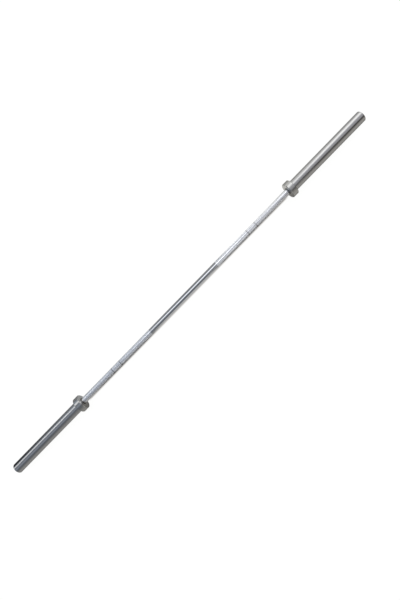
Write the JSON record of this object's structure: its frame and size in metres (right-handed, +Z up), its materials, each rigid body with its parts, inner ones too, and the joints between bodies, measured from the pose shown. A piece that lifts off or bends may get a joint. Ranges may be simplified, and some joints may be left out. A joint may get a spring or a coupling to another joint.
{
  "type": "olympic barbell",
  "caption": "Long chromed barbell: a knurled shaft with a collared sleeve at each end that turns on a bushing and needle bearings.",
  "frame": {"origin": "the middle of the bar, on the shaft's axis", "axes": "+X along the bar towards its right end, +Z up, +Y to the back"},
  "size_m": [2.2, 0.075, 0.075],
  "materials": {
    "shaft_chrome": "hard chrome: polished on the smooth middle, matt where it is knurled",
    "sleeve_chrome": "fine-turned chrome",
    "collar_chrome": "turned chrome with bright chamfers",
    "bearing_steel": "drawn hardened steel, oiled",
    "needle_steel": "ground",
    "cage_steel": "pressed, satin",
    "plain_steel": "turned, satin",
    "black_spring_steel": "phosphated and oiled",
    "bushing_bronze": "turned bronze",
    "seal_rubber": "moulded brown rubber, matt",
    "cap_plastic": "moulded, fine grain"
  },
  "bodies": {
    "bar": {"shaft": "shaft_chrome", "left_shaft_washer": "plain_steel", "left_shaft_circlip": "black_spring_steel", "right_shaft_washer": "plain_steel", "right_shaft_circlip": "black_spring_steel"},
    "left_sleeve": {"left_sleeve_tube": "sleeve_chrome", "left_collar": "collar_chrome", "left_dust_seal": "seal_rubber", "left_bushing": "bushing_bronze", "left_inner_cup": "bearing_steel", "left_spacer_tube": "plain_steel", "left_outer_cup": "bearing_steel", "left_sleeve_washer": "plain_steel", "left_spring_washer": "black_spring_steel", "left_end_cap": "cap_plastic", "left_cap_circlip": "black_spring_steel"},
    "left_inner_roller_set": {"left_inner_cage": "cage_steel", "left_inner_needles": "needle_steel"},
    "left_outer_roller_set": {"left_outer_cage": "cage_steel", "left_outer_needles": "needle_steel"},
    "right_sleeve": {"right_sleeve_tube": "sleeve_chrome", "right_collar": "collar_chrome", "right_dust_seal": "seal_rubber", "right_bushing": "bushing_bronze", "right_inner_cup": "bearing_steel", "right_spacer_tube": "plain_steel", "right_outer_cup": "bearing_steel", "right_sleeve_washer": "plain_steel", "right_spring_washer": "black_spring_steel", "right_end_cap": "cap_plastic", "right_cap_circlip": "black_spring_steel"},
    "right_inner_roller_set": {"right_inner_cage": "cage_steel", "right_inner_needles": "needle_steel"},
    "right_outer_roller_set": {"right_outer_cage": "cage_steel", "right_outer_needles": "needle_steel"}
  },
  "joints": [
    {"name": "left_sleeve_spin", "type": "hinge", "parent": "bar", "child": "left_sleeve", "pos_m": [-0.88, 0, 0], "axis": [1, 0, 0], "continuous": true},
    {"name": "left_inner_cage_roll", "type": "hinge", "parent": "bar", "child": "left_inner_roller_set", "pos_m": [-0.699, 0, 0], "axis": [1, 0, 0], "continuous": true},
    {"name": "left_outer_cage_roll", "type": "hinge", "parent": "bar", "child": "left_outer_roller_set", "pos_m": [-1.058, 0, 0], "axis": [1, 0, 0], "continuous": true},
    {"name": "right_sleeve_spin", "type": "hinge", "parent": "bar", "child": "right_sleeve", "pos_m": [0.88, 0, 0], "axis": [1, 0, 0], "continuous": true},
    {"name": "right_inner_cage_roll", "type": "hinge", "parent": "bar", "child": "right_inner_roller_set", "pos_m": [0.699, 0, 0], "axis": [1, 0, 0], "continuous": true},
    {"name": "right_outer_cage_roll", "type": "hinge", "parent": "bar", "child": "right_outer_roller_set", "pos_m": [1.058, 0, 0], "axis": [1, 0, 0], "continuous": true}
  ],
  "couplings": [
    {"joint": "left_inner_cage_roll", "follows": "left_sleeve_spin", "ratio": 0.5453},
    {"joint": "left_outer_cage_roll", "follows": "left_sleeve_spin", "ratio": 0.5453},
    {"joint": "right_inner_cage_roll", "follows": "right_sleeve_spin", "ratio": 0.5453},
    {"joint": "right_outer_cage_roll", "follows": "right_sleeve_spin", "ratio": 0.5453}
  ]
}
